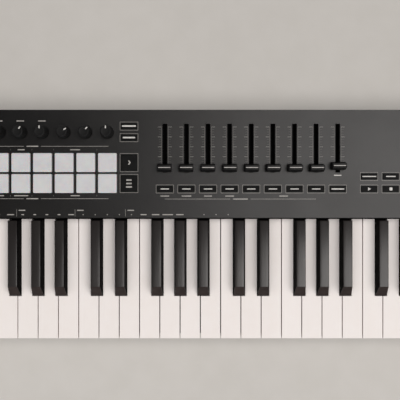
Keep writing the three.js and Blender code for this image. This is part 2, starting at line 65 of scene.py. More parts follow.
class Surface:
    """A procedural material: each method adds one kind of detail. Sizes and depths are in metres."""

    def __init__(self, name, colour, roughness, metallic=0.0, **sockets):
        self.material = bpy.data.materials.new(name)
        self.material.use_nodes = True
        self.tree = self.material.node_tree
        self.shader = self.tree.nodes["Principled BSDF"]
        self.colour = srgb(colour)
        self.roughness = roughness
        self.shader.inputs["Base Color"].default_value = self.colour
        self.shader.inputs["Roughness"].default_value = roughness
        self.shader.inputs["Metallic"].default_value = metallic
        for socket, value in sockets.items():
            self.shader.inputs[socket.replace("_", " ")].default_value = value
        self.place = self.node("ShaderNodeTexCoord").outputs["Object"]
        self.normal = None

    def node(self, kind, **values):
        made = self.tree.nodes.new(kind)
        for name, value in values.items():
            setattr(made, name, value)
        return made

    def link(self, output, socket):
        self.tree.links.new(output, socket)

    def noise(self, size, detail, stretch):
        """Noise whose blobs are about size metres across, stretched along each axis."""
        mapping = self.node("ShaderNodeMapping")
        mapping.inputs["Scale"].default_value = [1 / s for s in stretch]
        self.link(self.place, mapping.inputs["Vector"])
        noise = self.node("ShaderNodeTexNoise")
        noise.inputs["Scale"].default_value = 1 / size
        noise.inputs["Detail"].default_value = detail
        self.link(mapping.outputs["Vector"], noise.inputs["Vector"])
        return noise.outputs["Fac"]

    def between(self, value, low, high, start, end):
        """Spreads the part of a value from start to end over the range low to high."""
        ramp = self.node("ShaderNodeMapRange")
        limits = {"From Min": start, "From Max": end, "To Min": low, "To Max": high}
        for socket, number in limits.items():
            ramp.inputs[socket].default_value = number
        self.link(value, ramp.inputs["Value"])
        return ramp.outputs["Result"]

    def tint(self, other, size, amount, stretch=EVEN):
        """The colour drifts towards another one in patches."""
        mix = self.node("ShaderNodeMix", data_type="RGBA")
        mix.inputs["A"].default_value = self.colour
        mix.inputs["B"].default_value = srgb(other)
        socket = self.shader.inputs["Base Color"]
        if socket.links:
            self.link(socket.links[0].from_socket, mix.inputs["A"])
        blend = self.between(self.noise(size, 3.0, stretch), 0.0, amount, 0.35, 0.65)
        self.link(blend, mix.inputs["Factor"])
        self.link(mix.outputs["Result"], socket)
        return self

    def polish(self, spread, size, stretch=EVEN):
        """The roughness varies, as where hands have been."""
        low, high = self.roughness - spread, self.roughness + spread
        rough = self.between(self.noise(size, 5.0, stretch), low, high, 0.3, 0.7)
        self.link(rough, self.shader.inputs["Roughness"])
        return self

    def bump(self, height, depth, strength):
        """Adds a relief on top of any that is there."""
        bump = self.node("ShaderNodeBump")
        bump.inputs["Strength"].default_value = strength
        bump.inputs["Distance"].default_value = depth
        self.link(height, bump.inputs["Height"])
        if self.normal:
            self.link(self.normal, bump.inputs["Normal"])
        self.normal = bump.outputs["Normal"]
        self.link(self.normal, self.shader.inputs["Normal"])
        return self

    def grain(self, size, strength, depth, stretch=EVEN):
        return self.bump(self.noise(size, 2.0, stretch), depth, strength)

    def cells(self, size, strength, depth):
        """Moulded spark-eroded texture, in tiny cells."""
        cells = self.node("ShaderNodeTexVoronoi")
        cells.inputs["Scale"].default_value = 1 / size
        self.link(self.place, cells.inputs["Vector"])
        return self.bump(cells.outputs["Distance"], depth, strength)


def panel_plastic():
    surface = Surface("panel_plastic", "0e0d0d", roughness=0.34, Specular_IOR_Level=0.455)
    surface.tint("151311", size=0.09, amount=0.5).tint("0b0a0a", size=0.012, amount=0.3)
    surface.polish(spread=0.03, size=0.05).cells(size=0.0007, strength=0.22, depth=0.0003)
    return surface.grain(size=0.006, strength=0.05, depth=0.0005).material


def base_plastic():
    surface = Surface("base_plastic", "232322", roughness=0.62)
    surface.tint("2e2d2c", size=0.06, amount=0.6).polish(spread=0.08, size=0.03)
    return surface.cells(size=0.0011, strength=0.4, depth=0.0003).material


def ivory_plastic():
    surface = Surface("white_key_plastic", "f0eae7", roughness=0.3, Specular_IOR_Level=0.1)
    surface.tint("ebe4df", size=0.06, amount=0.4, stretch=(0.5, 3, 1))
    surface.tint("f3efed", size=0.012, amount=0.25).polish(spread=0.06, size=0.02, stretch=BRUSHED)
    surface.grain(size=0.03, strength=0.03, depth=0.001)
    return surface.grain(size=0.0006, strength=0.03, depth=0.0001).material


def black_key_plastic():
    surface = Surface("black_key_plastic", "1f1b1a", roughness=0.33, Specular_IOR_Level=0.6)
    surface.tint("292523", size=0.03, amount=0.6, stretch=BRUSHED)
    surface.polish(spread=0.06, size=0.012, stretch=(1, 5, 1))
    surface.cells(size=0.0005, strength=0.12, depth=0.0002)
    return surface.grain(size=0.0012, strength=0.06, depth=0.0002, stretch=STREAKED).material


def black_key_shaded_side():
    """The spark-eroded flanks of the black keys and their tails, duller than their tops, in a
    near-black that paints in shade.
    """
    surface = Surface("black_key_shaded_side", "050404", roughness=0.8, Specular_IOR_Level=0.05)
    surface.tint("0a0808", size=0.02, amount=0.6, stretch=BRUSHED).polish(spread=0.08, size=0.01)
    return surface.cells(size=0.0006, strength=0.3, depth=0.0002).material


def black_key_shaded_front():
    """The sloping front of a black key: a browner, less glossy copy of the key plastic, coloured as
    painted shade where little light reaches the front.
    """
    surface = Surface("black_key_shaded_front", "2b2422", roughness=0.7, Specular_IOR_Level=0.12)
    surface.tint("352c29", size=0.01, amount=0.6).polish(spread=0.08, size=0.006)
    return surface.grain(size=0.0012, strength=0.08, depth=0.0002).material


def pad_silicone():
    surface = Surface("pad_silicone", "cccdcf", roughness=0.55, Subsurface_Weight=0.25,
                      Subsurface_Scale=0.002, Sheen_Weight=0.15)
    surface.tint("c2c2c6", size=0.03, amount=0.6).tint("d8d6d4", size=0.006, amount=0.3)
    surface.polish(spread=0.08, size=0.008)
    return surface.grain(size=0.0009, strength=0.14, depth=0.0002).material


def rubber(name, colour, other, roughness, shine=0.2):
    surface = Surface(name, colour, roughness, Specular_IOR_Level=shine)
    surface.tint(other, size=0.01, amount=0.6).polish(spread=0.07, size=0.006)
    return surface.grain(size=0.0006, strength=0.15, depth=0.0002).material


def fader_plastic():
    surface = Surface("fader_plastic", "0b0b0b", roughness=0.36, Specular_IOR_Level=0.18)
    surface.tint("151414", size=0.006, amount=0.7).polish(spread=0.07, size=0.004)
    return surface.cells(size=0.0005, strength=0.15, depth=0.0002).material


def ink(name, colour, other):
    surface = Surface(name, colour, roughness=0.6)
    surface.tint(other, size=0.004, amount=0.8).polish(spread=0.08, size=0.002)
    return surface.grain(size=0.0004, strength=0.1, depth=0.0001).material


def metal(name, colour, other, roughness):
    surface = Surface(name, colour, roughness, metallic=1.0)
    surface.tint(other, size=0.004, amount=0.6).polish(spread=0.07, size=0.003, stretch=BRUSHED)
    return surface.grain(size=0.0005, strength=0.08, depth=0.0001, stretch=STREAKED).material


def board_laminate():
    surface = Surface("board_laminate", "14502e", roughness=0.4)
    surface.tint("0c3a20", size=0.004, amount=0.8, stretch=(1, 3, 1))
    surface.tint("1f6a3f", size=0.02, amount=0.5).polish(spread=0.08, size=0.004)
    return surface.grain(size=0.0008, strength=0.15, depth=0.0002).material


def lens_plastic():
    surface = Surface("lens_plastic", "08080a", roughness=0.09, Coat_Weight=0.4, Coat_Roughness=0.05)
    surface.tint("0d0e12", size=0.02, amount=0.6).polish(spread=0.03, size=0.012)
    return surface.grain(size=0.02, strength=0.02, depth=0.0005).material


def felt_cloth():
    surface = Surface("felt_cloth", "5a1517", roughness=0.9, Sheen_Weight=0.5)
    surface.tint("74201f", size=0.003, amount=0.8).tint("43100f", size=0.0012, amount=0.5)
    return surface.grain(size=0.0008, strength=0.7, depth=0.0006).material


# Near-black felt for the fader lips, also used for strips and linings that paint in shade.
def dark_felt_and_shade():
    surface = Surface("dark_felt_and_shade", "060606", roughness=0.95, Specular_IOR_Level=0.05)
    surface.tint("0c0b0b", size=0.002, amount=0.8)
    return surface.grain(size=0.0007, strength=0.6, depth=0.0005).material


def screen_glow():
    surface = Surface("screen_segments", "9fb4c4", roughness=0.4, Emission_Strength=0.35,
                      Emission_Color=srgb("a9c4d8"))
    surface.tint("8299ab", size=0.002, amount=0.5)
    return surface.grain(size=0.001, strength=0.05, depth=0.0001).material


def floor_paper():
    surface = Surface("floor_paper", "c9c6c1", roughness=0.85)
    surface.tint("c2bfba", size=0.3, amount=0.6).tint("cfccc8", size=0.03, amount=0.3)
    return surface.grain(size=0.002, strength=0.1, depth=0.0005).material


PANEL = panel_plastic()
BASE = base_plastic()
IVORY = ivory_plastic()
EBONY = black_key_plastic()
EBONY_SHADED_SIDE = black_key_shaded_side()
EBONY_SHADED_FRONT = black_key_shaded_front()
SILICONE = pad_silicone()
BUTTON = rubber("button_rubber", "070707", "0c0c0c", 0.7)
KNOB = rubber("knob_rubber", "0b0b0b", "121212", 0.6, 0.25)
WHEEL = rubber("wheel_rubber", "171717", "222222", 0.62)
FOOT = rubber("foot_rubber", "202020", "2b2b2b", 0.8)
FADER = fader_plastic()
WHITE_INK = ink("white_ink", "d6d4d0", "bab8b4")
GREY_INK = ink("grey_ink", "a9a6a1", "8f8c88")
FRAME_INK = ink("frame_ink", "928f8a", "7d7a76")
LINE_INK = ink("fader_line_ink", "aaa7a3", "c2bfbb")
FAINT_INK = ink("faint_ink", "73706c", "64615e")
STEEL = metal("screw_steel", "3a3a3b", "505052", 0.35)
NICKEL = metal("socket_nickel", "b9b7b2", "8f8d89", 0.25)
GOLD = metal("contact_gold", "c9a454", "a88438", 0.3)
BOARD = board_laminate()
LENS = lens_plastic()
FELT = felt_cloth()
DARK_FELT_AND_SHADE = dark_felt_and_shade()
SCREEN = screen_glow()


# ---- Mesh helpers: each adds a closed form to a bmesh --------------------------------------------

EDGE_STEPS = 3  # facets across a rolled edge


def skin(bm, loops, closed):
    """Joins each loop of points to the next, and the last to the first if closed."""
    rings = [[bm.verts.new(p) for p in loop] for loop in loops]
    for lower, upper in zip(rings, rings[1:] + (rings[:1] if closed else [])):
        for i in range(len(lower)):
            j = (i + 1) % len(lower)
            bm.faces.new((lower[i], lower[j], upper[j], upper[i]))
    return rings


def loft(bm, loops):
    """Skins closed loops of points in order, and closes both ends."""
    rings = skin(bm, loops, closed=False)
    bm.faces.new(reversed(rings[0]))
    bm.faces.new(rings[-1])


def circle(radius, count):
    """Points round the origin, anticlockwise from +X."""
    angles = [TURN * i / count for i in range(count)]
    return [(radius * math.cos(a), radius * math.sin(a)) for a in angles]


def rounded_loop(x, y, z, width, depth, radius, steps=4):
    """A rectangle with round corners, level at z, anticlockwise from above."""
    points = []
    for corner, (sx, sy) in enumerate(((1, 1), (-1, 1), (-1, -1), (1, -1))):
        cx, cy = x + sx * (width / 2 - radius), y + sy * (depth / 2 - radius)
        for step in range(steps + 1):
            angle = QUARTER * (corner + step / steps)
            points.append((cx + radius * math.cos(angle), cy + radius * math.sin(angle), z))
    return points


def slab(bm, x, y, width, depth, z0, z1, radius, edge, crown=0.0, steps=4):
    """An upright rounded block with a rolled top edge and a top that may be crowned or dished."""
    def inset(amount, z):
        corner = max(radius - amount, radius * 0.15)
        return rounded_loop(x, y, z, width - 2 * amount, depth - 2 * amount, corner, steps)

    loops = [inset(0, z0)]
    for step in range(EDGE_STEPS + 1):
        angle = QUARTER * step / EDGE_STEPS
        loops.append(inset(edge * (1 - math.cos(angle)), z1 - edge + edge * math.sin(angle)))
    if crown:
        half = min(width, depth) / 2
        for share in (0.25, 0.5, 0.8):
            reach = edge + (half - edge) * share * 0.9
            loops.append(inset(reach, z1 + crown * (1 - (1 - share) ** 2)))
    loft(bm, loops)


def slab_down(bm, x, y, width, depth, z0, z1, radius, edge):
    """A rounded block whose rolled edge is at the bottom."""
    start = len(bm.verts)
    slab(bm, x, y, width, depth, -z1, -z0, radius, edge)
    bm.verts.ensure_lookup_table()
    for vert in bm.verts[start:]:
        vert.co.z = -vert.co.z


def frame_ring(bm, x, y, width, depth, line, z0, z1, radius):
    """A thin printed or moulded frame round a rectangle."""
    loops = []
    for amount, z in ((0, z0), (0, z1), (line, z1), (line, z0)):
        corner = max(radius - amount, radius * 0.3)
        loops.append(rounded_loop(x, y, z, width - 2 * amount, depth - 2 * amount, corner, 3))
    skin(bm, loops, closed=True)


def scaled(points):
    """Points in millimetres, made metres."""
    return [(a * MM, b * MM) for a, b in points]


def turned(bm, profile, segments, matrix, wave=None):
    """A turned form about its own Z axis, from (radius, height) points, placed by a matrix.
    wave(angle, radius, height) may change the radius."""
    loops = []
    for radius, height in profile:
        loop = []
        for i in range(segments):
            angle = TURN * i / segments
            r = wave(angle, radius, height) if wave else radius
            loop.append(matrix @ Vector((r * math.cos(angle), r * math.sin(angle), height)))
        loops.append(loop)
    loft(bm, loops)


STANDS = {
    "Z": Matrix(),
    "-Z": Matrix.Rotation(math.pi, 4, "X"),
    "X": Matrix.Rotation(QUARTER, 4, "Y"),
    "Y": Matrix.Rotation(-QUARTER, 4, "X"),
}


def at(x, y, z, axis="Z"):
    """A matrix that stands a turned form at a point, along an axis."""
    return Matrix.Translation((x, y, z)) @ STANDS[axis]


def mesh_object(name, bm, material):
    """Makes an object in the scene from a bmesh."""
    mesh = bpy.data.meshes.new(name)
    bm.to_mesh(mesh)
    bm.free()
    mesh.materials.append(material)
    obj = bpy.data.objects.new(name, mesh)
    bpy.context.scene.collection.objects.link(obj)
    return obj


def piece(name, body, material, build, replaces=()):
    """Makes a mesh object from a function that fills a bmesh, and lets it ride on a body."""
    bm = bmesh.new()
    build(bm)
    bmesh.ops.recalc_face_normals(bm, faces=bm.faces[:])
    obj = mesh_object(name, bm, material)
    for polygon in obj.data.polygons:
        polygon.use_smooth = True
    obj.data.set_sharp_from_angle(angle=math.radians(50))
    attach(obj, body)
    if replaces:
        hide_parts(*replaces)
    return obj


def dress(node, material, edge=0.0, segments=2):
    """Gives a CAD node its material, and breaks its sharp edges by a bevel modifier."""
    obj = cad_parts[node]
    obj.data.materials.clear()
    obj.data.materials.append(material)
    if edge:
        bevel = obj.modifiers.new("broken_edges", "BEVEL")
        bevel.width = edge
        bevel.segments = segments
        bevel.limit_method = "ANGLE"
        bevel.angle_limit = math.radians(35)
        bevel.harden_normals = True


# ---- Places, worked out from the frame -----------------------------------------------------------

def middle(node):
    low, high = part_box(node)
    return (low + high) / 2


MAT_MARGIN = 0.8 * MM  # from the outermost pads or buttons to the edge of their mat
PAD = Vector((21.1, 21.5)) * MM
SMALL = Vector((18.4, 6.6)) * MM  # width and depth of the small buttons
SQUARE = Vector((18.4, 18)) * MM
SMALL_INSET = Vector((MAT_MARGIN + SMALL.x / 2, MAT_MARGIN + SMALL.y / 2))
PAIR_STEP = 13.1 * MM  # between the two small buttons level with the knobs
KEY_SET_MARGIN = 0.5 * MM
WHITE_KEYS = 29

PANEL_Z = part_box("top_casing")[1].z
BASE_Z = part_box("bottom_casing")[0].z
KNOBS = [f"knob_{i}" for i in range(1, 9)]
FADERS = [f"fader_{i}" for i in range(1, 10)]
knob_xs = [middle(knob).x for knob in KNOBS]
knob_y = middle("knob_1").y
fader_xs = [middle(fader).x for fader in FADERS]
fader_y = middle("fader_1").y
GRID = knob_xs[1] - knob_xs[0]
pads_low, pads_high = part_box("pad_mat")
pad_ys = [pads_high.y - MAT_MARGIN - PAD.y / 2, pads_low.y + MAT_MARGIN + PAD.y / 2]
centre_low, centre_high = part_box("centre_button_mat")
transport_low, transport_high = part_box("transport_button_mat")
left_low, left_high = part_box("left_button_mat")
BUTTON_TOP = centre_high.z
scene_x = centre_low.x + SMALL_INSET.x  # the column right of the pads
left_x = left_high.x - SMALL_INSET.x  # the column left of the pads
pair_ys = [centre_high.y - SMALL_INSET.y - drop for drop in (0, PAIR_STEP)]
fader_button_y = centre_low.y + SMALL_INSET.y
transport_xs = [transport_low.x + SMALL_INSET.x + i * GRID for i in range(4)]
transport_ys = [transport_high.y - SMALL_INSET.y, transport_low.y + SMALL_INSET.y]
function_xs = [left_low.x + SMALL_INSET.x + i * GRID for i in range(3)]
function_ys = [pad_ys[0], (pad_ys[0] + pad_ys[1]) / 2, pad_ys[1]]
lens_low, lens_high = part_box("display_window")
keys_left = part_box("white_key_set_low")[0].x - KEY_SET_MARGIN
keys_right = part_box("white_key_set_high")[1].x + KEY_SET_MARGIN
keys_middle = (keys_left + keys_right) / 2
keys_width = keys_right - keys_left
WHITE_PITCH = keys_width / WHITE_KEYS
SEMITONE = WHITE_PITCH * 7 / 12
white_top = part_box("white_key_set_low")[1].z
panel_front = 9 * MM
cap_back = panel_front - 3.3 * MM  # where the black caps end, short of the panel


# ---- Casing and keys carried over from CAD -------------------------------------------------------

white_nodes = sorted(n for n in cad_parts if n.startswith("white_key"))
black_nodes = sorted(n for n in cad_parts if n.startswith("black_key"))
dress("top_casing", PANEL, 0.4 * MM)
dress("bottom_casing", BASE, 0.4 * MM)
dress("keybed_chassis", BASE)
dress("key_contact_board", BOARD)
dress("main_circuit_board", BOARD)
dress("socket_board", BASE)
dress("display_window", LENS, 0.25 * MM)
for node in white_nodes:
    dress(node, IVORY, 0.45 * MM, 3)


# ---- Black keys: rounded tapering caps with a sloping front --------------------------------------

black_low, black_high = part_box("black_key_Cs3")
BLACK_BASE_HALF = (black_high.x - black_low.x) / 2
BLACK_TOP_HALF = 5.3 * MM
BLACK_SLOPE = 11.7 * MM  # how far back the front slopes
BLACK_SKIRT = white_top - 8.5 * MM
ROLL = 1.0 * MM  # radius of the long top edges
ROLL_STEPS = 4
CROWN = 0.08 * MM
FRONT_LIP = 1.2 * MM  # the front edge stands this far above the white keys
TAIL_HALF = 5 * MM
TAIL_TOP = 45 * MM
# The front in profile: shares of the slope's length and of its height.
SLOPE = [(0.0, 0.0), (0.03, 0.045), (0.08, 0.1), (0.3, 0.33), (0.6, 0.65), (0.84, 0.9),
         (0.93, 0.985), (0.97, 1.008), (1.03, 1.01), (1.1, 1.0)]
# The five keys of a set: white keys along from the first, and millimetres more.
SET_PLACES = [(0, 0), (1, 4.5), (3, -0.45), (4, 2.65), (5, 5.85)]


def cap_section(x, y, top, rise, roll):
    """A section across a black key: upright skirt, leaning flank, rolled edge, crowned top."""
    def half(z):
        share = max(0.0, (z - white_top) / rise)
        return BLACK_BASE_HALF + (BLACK_TOP_HALF - BLACK_BASE_HALF) * share

    side = [(half(BLACK_SKIRT), BLACK_SKIRT), (half(white_top), white_top)]
    for step in range(ROLL_STEPS + 1):
        angle = QUARTER * step / ROLL_STEPS
        z = top - roll + roll * math.sin(angle)
        side.append((half(top - roll) - roll * (1 - math.cos(angle)), z))
    side.append((BLACK_TOP_HALF * 0.35, top + CROWN))
    right = [(x + w, y, z) for w, z in side]
    left = [(x - w, y, z) for w, z in reversed(side)]
    return right + left


def black_cap(bm, x, front, top):
    rise = top - white_top
    crest = top - 0.1 * MM
    start = white_top + FRONT_LIP
    loops = []
    for share, height in SLOPE:
        z = start + (crest - start) * height
        roll = min(ROLL, (z - white_top) * 0.6)
        loops.append(cap_section(x, front + BLACK_SLOPE * share, z, rise, roll))
    loops.append(cap_section(x, cap_back - 0.5 * MM, crest, rise, ROLL))
    loops.append(cap_section(x, cap_back, crest - 0.4 * MM, rise, 1.4 * ROLL))
    loft(bm, loops)


def black_tail(bm, x, node_back):
    """The tail behind the cap, under the control panel. It starts inside the cap."""
    overlap = 2 * MM
    slab(bm, x, (cap_back + node_back - overlap) / 2, 2 * TAIL_HALF,
         node_back - cap_back + overlap, BLACK_SKIRT + 3 * MM, TAIL_TOP, 0.8 * MM, 0.5 * MM)


def black_key_xs(node):
    """The centres of the keys in a black node: one, or five in a set."""
    if "set" not in node:
        return [middle(node).x]
    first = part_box(node)[0].x + BLACK_BASE_HALF
    return [first + (whites * WHITE_PITCH + extra * MM) for whites, extra in SET_PLACES]


for node in black_nodes:
    low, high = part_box(node)

    def build(bm, xs=black_key_xs(node), low=low, high=high):
        for x in xs:
            black_cap(bm, x, low.y, high.z)
            black_tail(bm, x, high.y)
        if len(xs) > 1:  # the rail that joins a set
            slab(bm, (xs[0] + xs[-1]) / 2, high.y - 2 * MM, xs[-1] - xs[0] + 4 * MM, 4 * MM,
                 41.5 * MM, 44.9 * MM, 0.6 * MM, 0.4 * MM)

    shell = piece(node + "_shell", node, EBONY, build, replaces=[node])
    shell.data.materials.append(EBONY_SHADED_SIDE)
    shell.data.materials.append(EBONY_SHADED_FRONT)
    for polygon in shell.data.polygons:
        # Painted shade: the flanks, the undersides and the tails under the panel take the near-black
        # side plastic.
        behind = polygon.center.y > cap_back + 0.5 * MM
        if abs(polygon.normal.x) > 0.8 or polygon.normal.z < 0.2 or behind:
            polygon.material_index = 1
        # Painted shade: the sloping front takes the duller copy of the key plastic.
        elif polygon.normal.y < -0.45:
            polygon.material_index = 2


# ---- Pads and buttons ----------------------------------------------------------------------------

WEB_LOW = pads_low.z  # underside of the mats
PAD_DISH = -0.35 * MM
BUTTON_DISH = -0.12 * MM


def build_pads(bm):
    for x in knob_xs:
        for y in pad_ys:
            slab(bm, x, y, PAD.x, PAD.y, WEB_LOW, pads_high.z - 0.05 * MM, 1.2 * MM, 0.8 * MM,
                 PAD_DISH)


def build_pad_shade_web(bm):
    """The dark sheet that the pads stand on: painted shade in the gaps round the pads."""
    size = pads_high - pads_low
    centre = middle("pad_mat")
    slab(bm, centre.x, centre.y, size.x, size.y, WEB_LOW, WEB_LOW + 1.1 * MM, 1 * MM, 0.3 * MM)


piece("pads", "pad_mat", SILICONE, build_pads, replaces=["pad_mat"])
# The sheet under the pads is painted shade.
piece("pad_gap_shade_web", "pad_mat", BUTTON, build_pad_shade_web)


def column(x):
    """The two small and two square buttons at either end of the pads."""
    return [(x, y, SMALL) for y in pair_ys] + [(x, y, SQUARE) for y in pad_ys]


mats = {
    "left_button_mat": column(left_x) + [(x, y, SMALL) for x in function_xs for y in function_ys],
    "centre_button_mat": column(scene_x) + [(x, fader_button_y, SMALL) for x in fader_xs],
    "transport_button_mat": [(x, y, SMALL) for x in transport_xs for y in transport_ys],
}

for mat, buttons in mats.items():
    def build(bm, buttons=buttons):
        for x, y, size in buttons:
            slab(bm, x, y, size.x, size.y, WEB_LOW + 0.2 * MM, BUTTON_TOP - 0.1 * MM, 0.8 * MM,
                 0.35 * MM, BUTTON_DISH)

    piece(mat + "_caps", mat, BUTTON, build, replaces=[mat])


# ---- Printing: frames, lines and generic marks in place of words ---------------------------------

INK = 0.03 * MM  # printed ink stands this far above a surface
SINK = 0.05 * MM  # and reaches this far into it
FRAME = 0.45 * MM  # line width of the frames round the buttons
SMALL_GAP = Vector((0.45, 1.1)) * MM  # from a button to its frame
LARGE_GAP = Vector((0.75, 1.1)) * MM  # the same in the columns beside the pads
WORD = 1.15 * MM  # depth of a bar that stands for a word
CAP_PRINT_Z = BUTTON_TOP - 0.12 * MM
SQUARE_PRINT_Z = BUTTON_TOP - 0.2 * MM


def bar(bm, x, y, width, depth, z=PANEL_Z):
    """A printed dash."""
    slab(bm, x, y, width, depth, z - SINK, z + INK, min(width, depth) * 0.3, INK / 2, steps=2)


def outline_mark(bm, points, z):
    """A printed flat shape from outline points."""
    loft(bm, [[(x, y, z + h) for x, y in points] for h in (-SINK, INK)])


def chevron_mark(bm, x, y, size, line, z, turn=0.0):
    """A chevron that points to the right, or elsewhere by turn."""
    back, tip = -size / 2, size / 2
    outline = [(back, size), (back + line, size), (tip + line / 2, 0), (back + line, -size),
               (back, -size), (tip - line / 2, 0)]
    c, s = math.cos(turn), math.sin(turn)
    outline_mark(bm, [(x + c * u - s * v, y + s * u + c * v) for u, v in reversed(outline)], z)


def build_frames(bm):
    for buttons in mats.values():
        for x, y, size in buttons:
            gap = LARGE_GAP if x in (left_x, scene_x) else SMALL_GAP
            outer = size + 2 * gap + Vector((2 * FRAME, 2 * FRAME))
            frame_ring(bm, x, y, outer.x, outer.y, FRAME, PANEL_Z - SINK, PANEL_Z + INK, 0.6 * MM)


piece("button_frames", "case", FRAME_INK, build_frames)

FADER_TRAVEL = 45 * MM
FADER_MIDDLE = fader_y + FADER_TRAVEL / 2
SCALE_SHIFT = 1.5 * MM  # the printed scale is this far behind the caps' centres
TICKS = 5
MINOR = 4  # small steps from one tick to the next


def build_fader_ticks(bm):
    for x in fader_xs:
        for side in (-1, 1):
            for i in range(TICKS):
                y = fader_y + SCALE_SHIFT + FADER_TRAVEL * i / (TICKS - 1)
                bar(bm, x + side * 6.0 * MM, y, 4.0 * MM, 0.3 * MM)


def build_fader_lines(bm):
    """The line along each side of a slot, with the small steps."""
    step = FADER_TRAVEL / (TICKS - 1) / MINOR
    for x in fader_xs:
        for side in (-1, 1):
            bar(bm, x + side * 3.9 * MM, FADER_MIDDLE + SCALE_SHIFT, 0.3 * MM,
                FADER_TRAVEL + 1 * MM)
            for i in range(MINOR * (TICKS - 1)):
                if i % MINOR:
                    y = fader_y + SCALE_SHIFT + step * i
                    bar(bm, x + side * 5.4 * MM, y, 2.6 * MM, 0.16 * MM)


piece("fader_ticks", "case", GREY_INK, build_fader_ticks)
piece("fader_lines", "case", FAINT_INK, build_fader_lines)


def build_button_marks(bm):
    """Marks on the small buttons right of the pads and under the faders."""
    for y, width in zip(pair_ys, (15.8, 14)):
        bar(bm, scene_x, y, width * MM, 1.7 * MM, CAP_PRINT_Z)
    for x in fader_xs[:-1]:
        bar(bm, x, fader_button_y, 9.6 * MM, 1.1 * MM, CAP_PRINT_Z)
    bar(bm, fader_xs[-1], fader_button_y, 14.5 * MM, 1.4 * MM, CAP_PRINT_Z)


def build_square_marks(bm):
    """An arrow on the upper square button, and three short words on the lower one."""
    chevron_mark(bm, scene_x, pad_ys[0], 2.4 * MM, 1.7 * MM, SQUARE_PRINT_Z)
    for drop, width in ((-3.9, 6.2), (0, 6.2), (3.9, 7)):
        bar(bm, scene_x, pad_ys[1] - drop * MM, width * MM, 1.7 * MM, SQUARE_PRINT_Z)


def build_left_marks(bm):
    """Up and down arrows beside the pads, and bars of four lengths on the function buttons."""
    for y, turn in zip(pair_ys, (QUARTER, -QUARTER)):
        chevron_mark(bm, left_x, y, 1.2 * MM, 0.7 * MM, CAP_PRINT_Z, turn)
    for y, turn in zip(pad_ys, (QUARTER, -QUARTER)):
        chevron_mark(bm, left_x, y, 2.2 * MM, 1.0 * MM, SQUARE_PRINT_Z, turn)
    for i, x in enumerate(function_xs):
        for j, y in enumerate(function_ys):
            length = 8 + 2.2 * ((i + 2 * j) % 4)
            bar(bm, x, y, length * MM, WORD, CAP_PRINT_Z)


def build_transport_marks(bm):
    """Bars on the upper row. Play, stop, record and loop signs on the lower one."""
    z = CAP_PRINT_Z
    upper, lower = transport_ys
    for x, width in zip(transport_xs, (16, 11, 12.5, 9.5)):
        bar(bm, x, upper, width * MM, WORD, z)
    play, stop, record, loop = transport_xs
    size = 1.9 * MM
    back = play - size * 0.7
    outline_mark(bm, [(back, lower - size), (play + size, lower), (back, lower + size)], z)
    slab(bm, stop, lower, 3.4 * MM, 3.4 * MM, z - SINK, z + INK, 0.7 * MM, INK / 2, steps=2)
    outline_mark(bm, [(record + u, lower + v) for u, v in circle(size, 20)], z)
    frame_ring(bm, loop, lower, 6.4 * MM, 3.6 * MM, 0.6 * MM, z - SINK, z + INK, 1.7 * MM)


piece("centre_button_marks", "centre_button_mat", WHITE_INK, build_button_marks)
piece("square_button_marks", "centre_button_mat", GREY_INK, build_square_marks)
piece("left_button_marks", "left_button_mat", WHITE_INK, build_left_marks)
piece("transport_button_marks", "transport_button_mat", WHITE_INK, build_transport_marks)

PAD_LINE_YS = (pad_ys[0] + 18.5 * MM, pad_ys[1] - 17.2 * MM)
PAD_WORD_YS = (PAD_LINE_YS[0] - 3.9 * MM, PAD_LINE_YS[1] + 3.4 * MM)
# Each group's line: its ends, its place, and the length of the bar that stands for its name.
GROUPS = [(knob_xs[0], knob_xs[-1] + 1 * MM, y, 13.5 * MM) for y in PAD_LINE_YS]
GROUPS.append((fader_xs[0], fader_xs[7], fader_button_y - 11.4 * MM, 17 * MM))
NAME_GAP = 3 * MM


def build_group_lines(bm):
    """The groups' lines, broken in the middle, and the ticks between the pads."""
    for x0, x1, y, word in GROUPS:
        length = (x1 - x0 - word) / 2 - NAME_GAP
        for side in (-1, 1):
            x = (x0 + x1) / 2 + side * (word + 2 * NAME_GAP + length) / 2
            bar(bm, x, y, length, 0.42 * MM)
    for y in PAD_WORD_YS:
        for x in knob_xs[1:]:
            bar(bm, x - GRID / 2, y, 0.25 * MM, 1.2 * MM)


def word_row(bm, x, y, words):
    """Bars in a row, from (column, length in millimetres) pairs."""
    for place, width in words:
        bar(bm, x + place * GRID, y, width * MM, WORD)


def build_words(bm):
    for x0, x1, y, word in GROUPS:
        bar(bm, (x0 + x1) / 2, y, word, WORD)
    for x in knob_xs[:5]:
        bar(bm, x - 1 * MM, knob_y + 13 * MM, 8.6 * MM, WORD)
    word_row(bm, knob_xs[0], PAD_WORD_YS[0], [(1, 7.5), (3, 8), (5.5, 11.5)])
    word_row(bm, knob_xs[0], PAD_WORD_YS[1], [(0, 9), (1, 13), (2, 10.5), (3, 16), (5.5, 10.5)])
    word_row(bm, fader_xs[0], fader_button_y - 8 * MM,
             [(0, 10), (1, 11), (2, 9), (3, 10), (5.5, 10)])


def build_ninth_mark(bm):
    bar(bm, fader_xs[8], fader_y - 8.3 * MM, 8.5 * MM, 1.1 * MM)


KEY_MARK_Y = panel_front + 3.6 * MM
LONG_MARKS = {6: 8.0, 11: 6.4, 17: 6.8, 18: 8.5, 19: 12.0, 20: 8.5}  # millimetres, by semitone
DOT_CELLS = {*range(12, 17), 22, 23, 24}
SECTION_STARTS = (0, 7, 11.83, 16)


def semitone(cell):
    """Where a semitone's cell starts along the rear of the keys."""
    return keys_left + 1.2 * MM + cell * SEMITONE


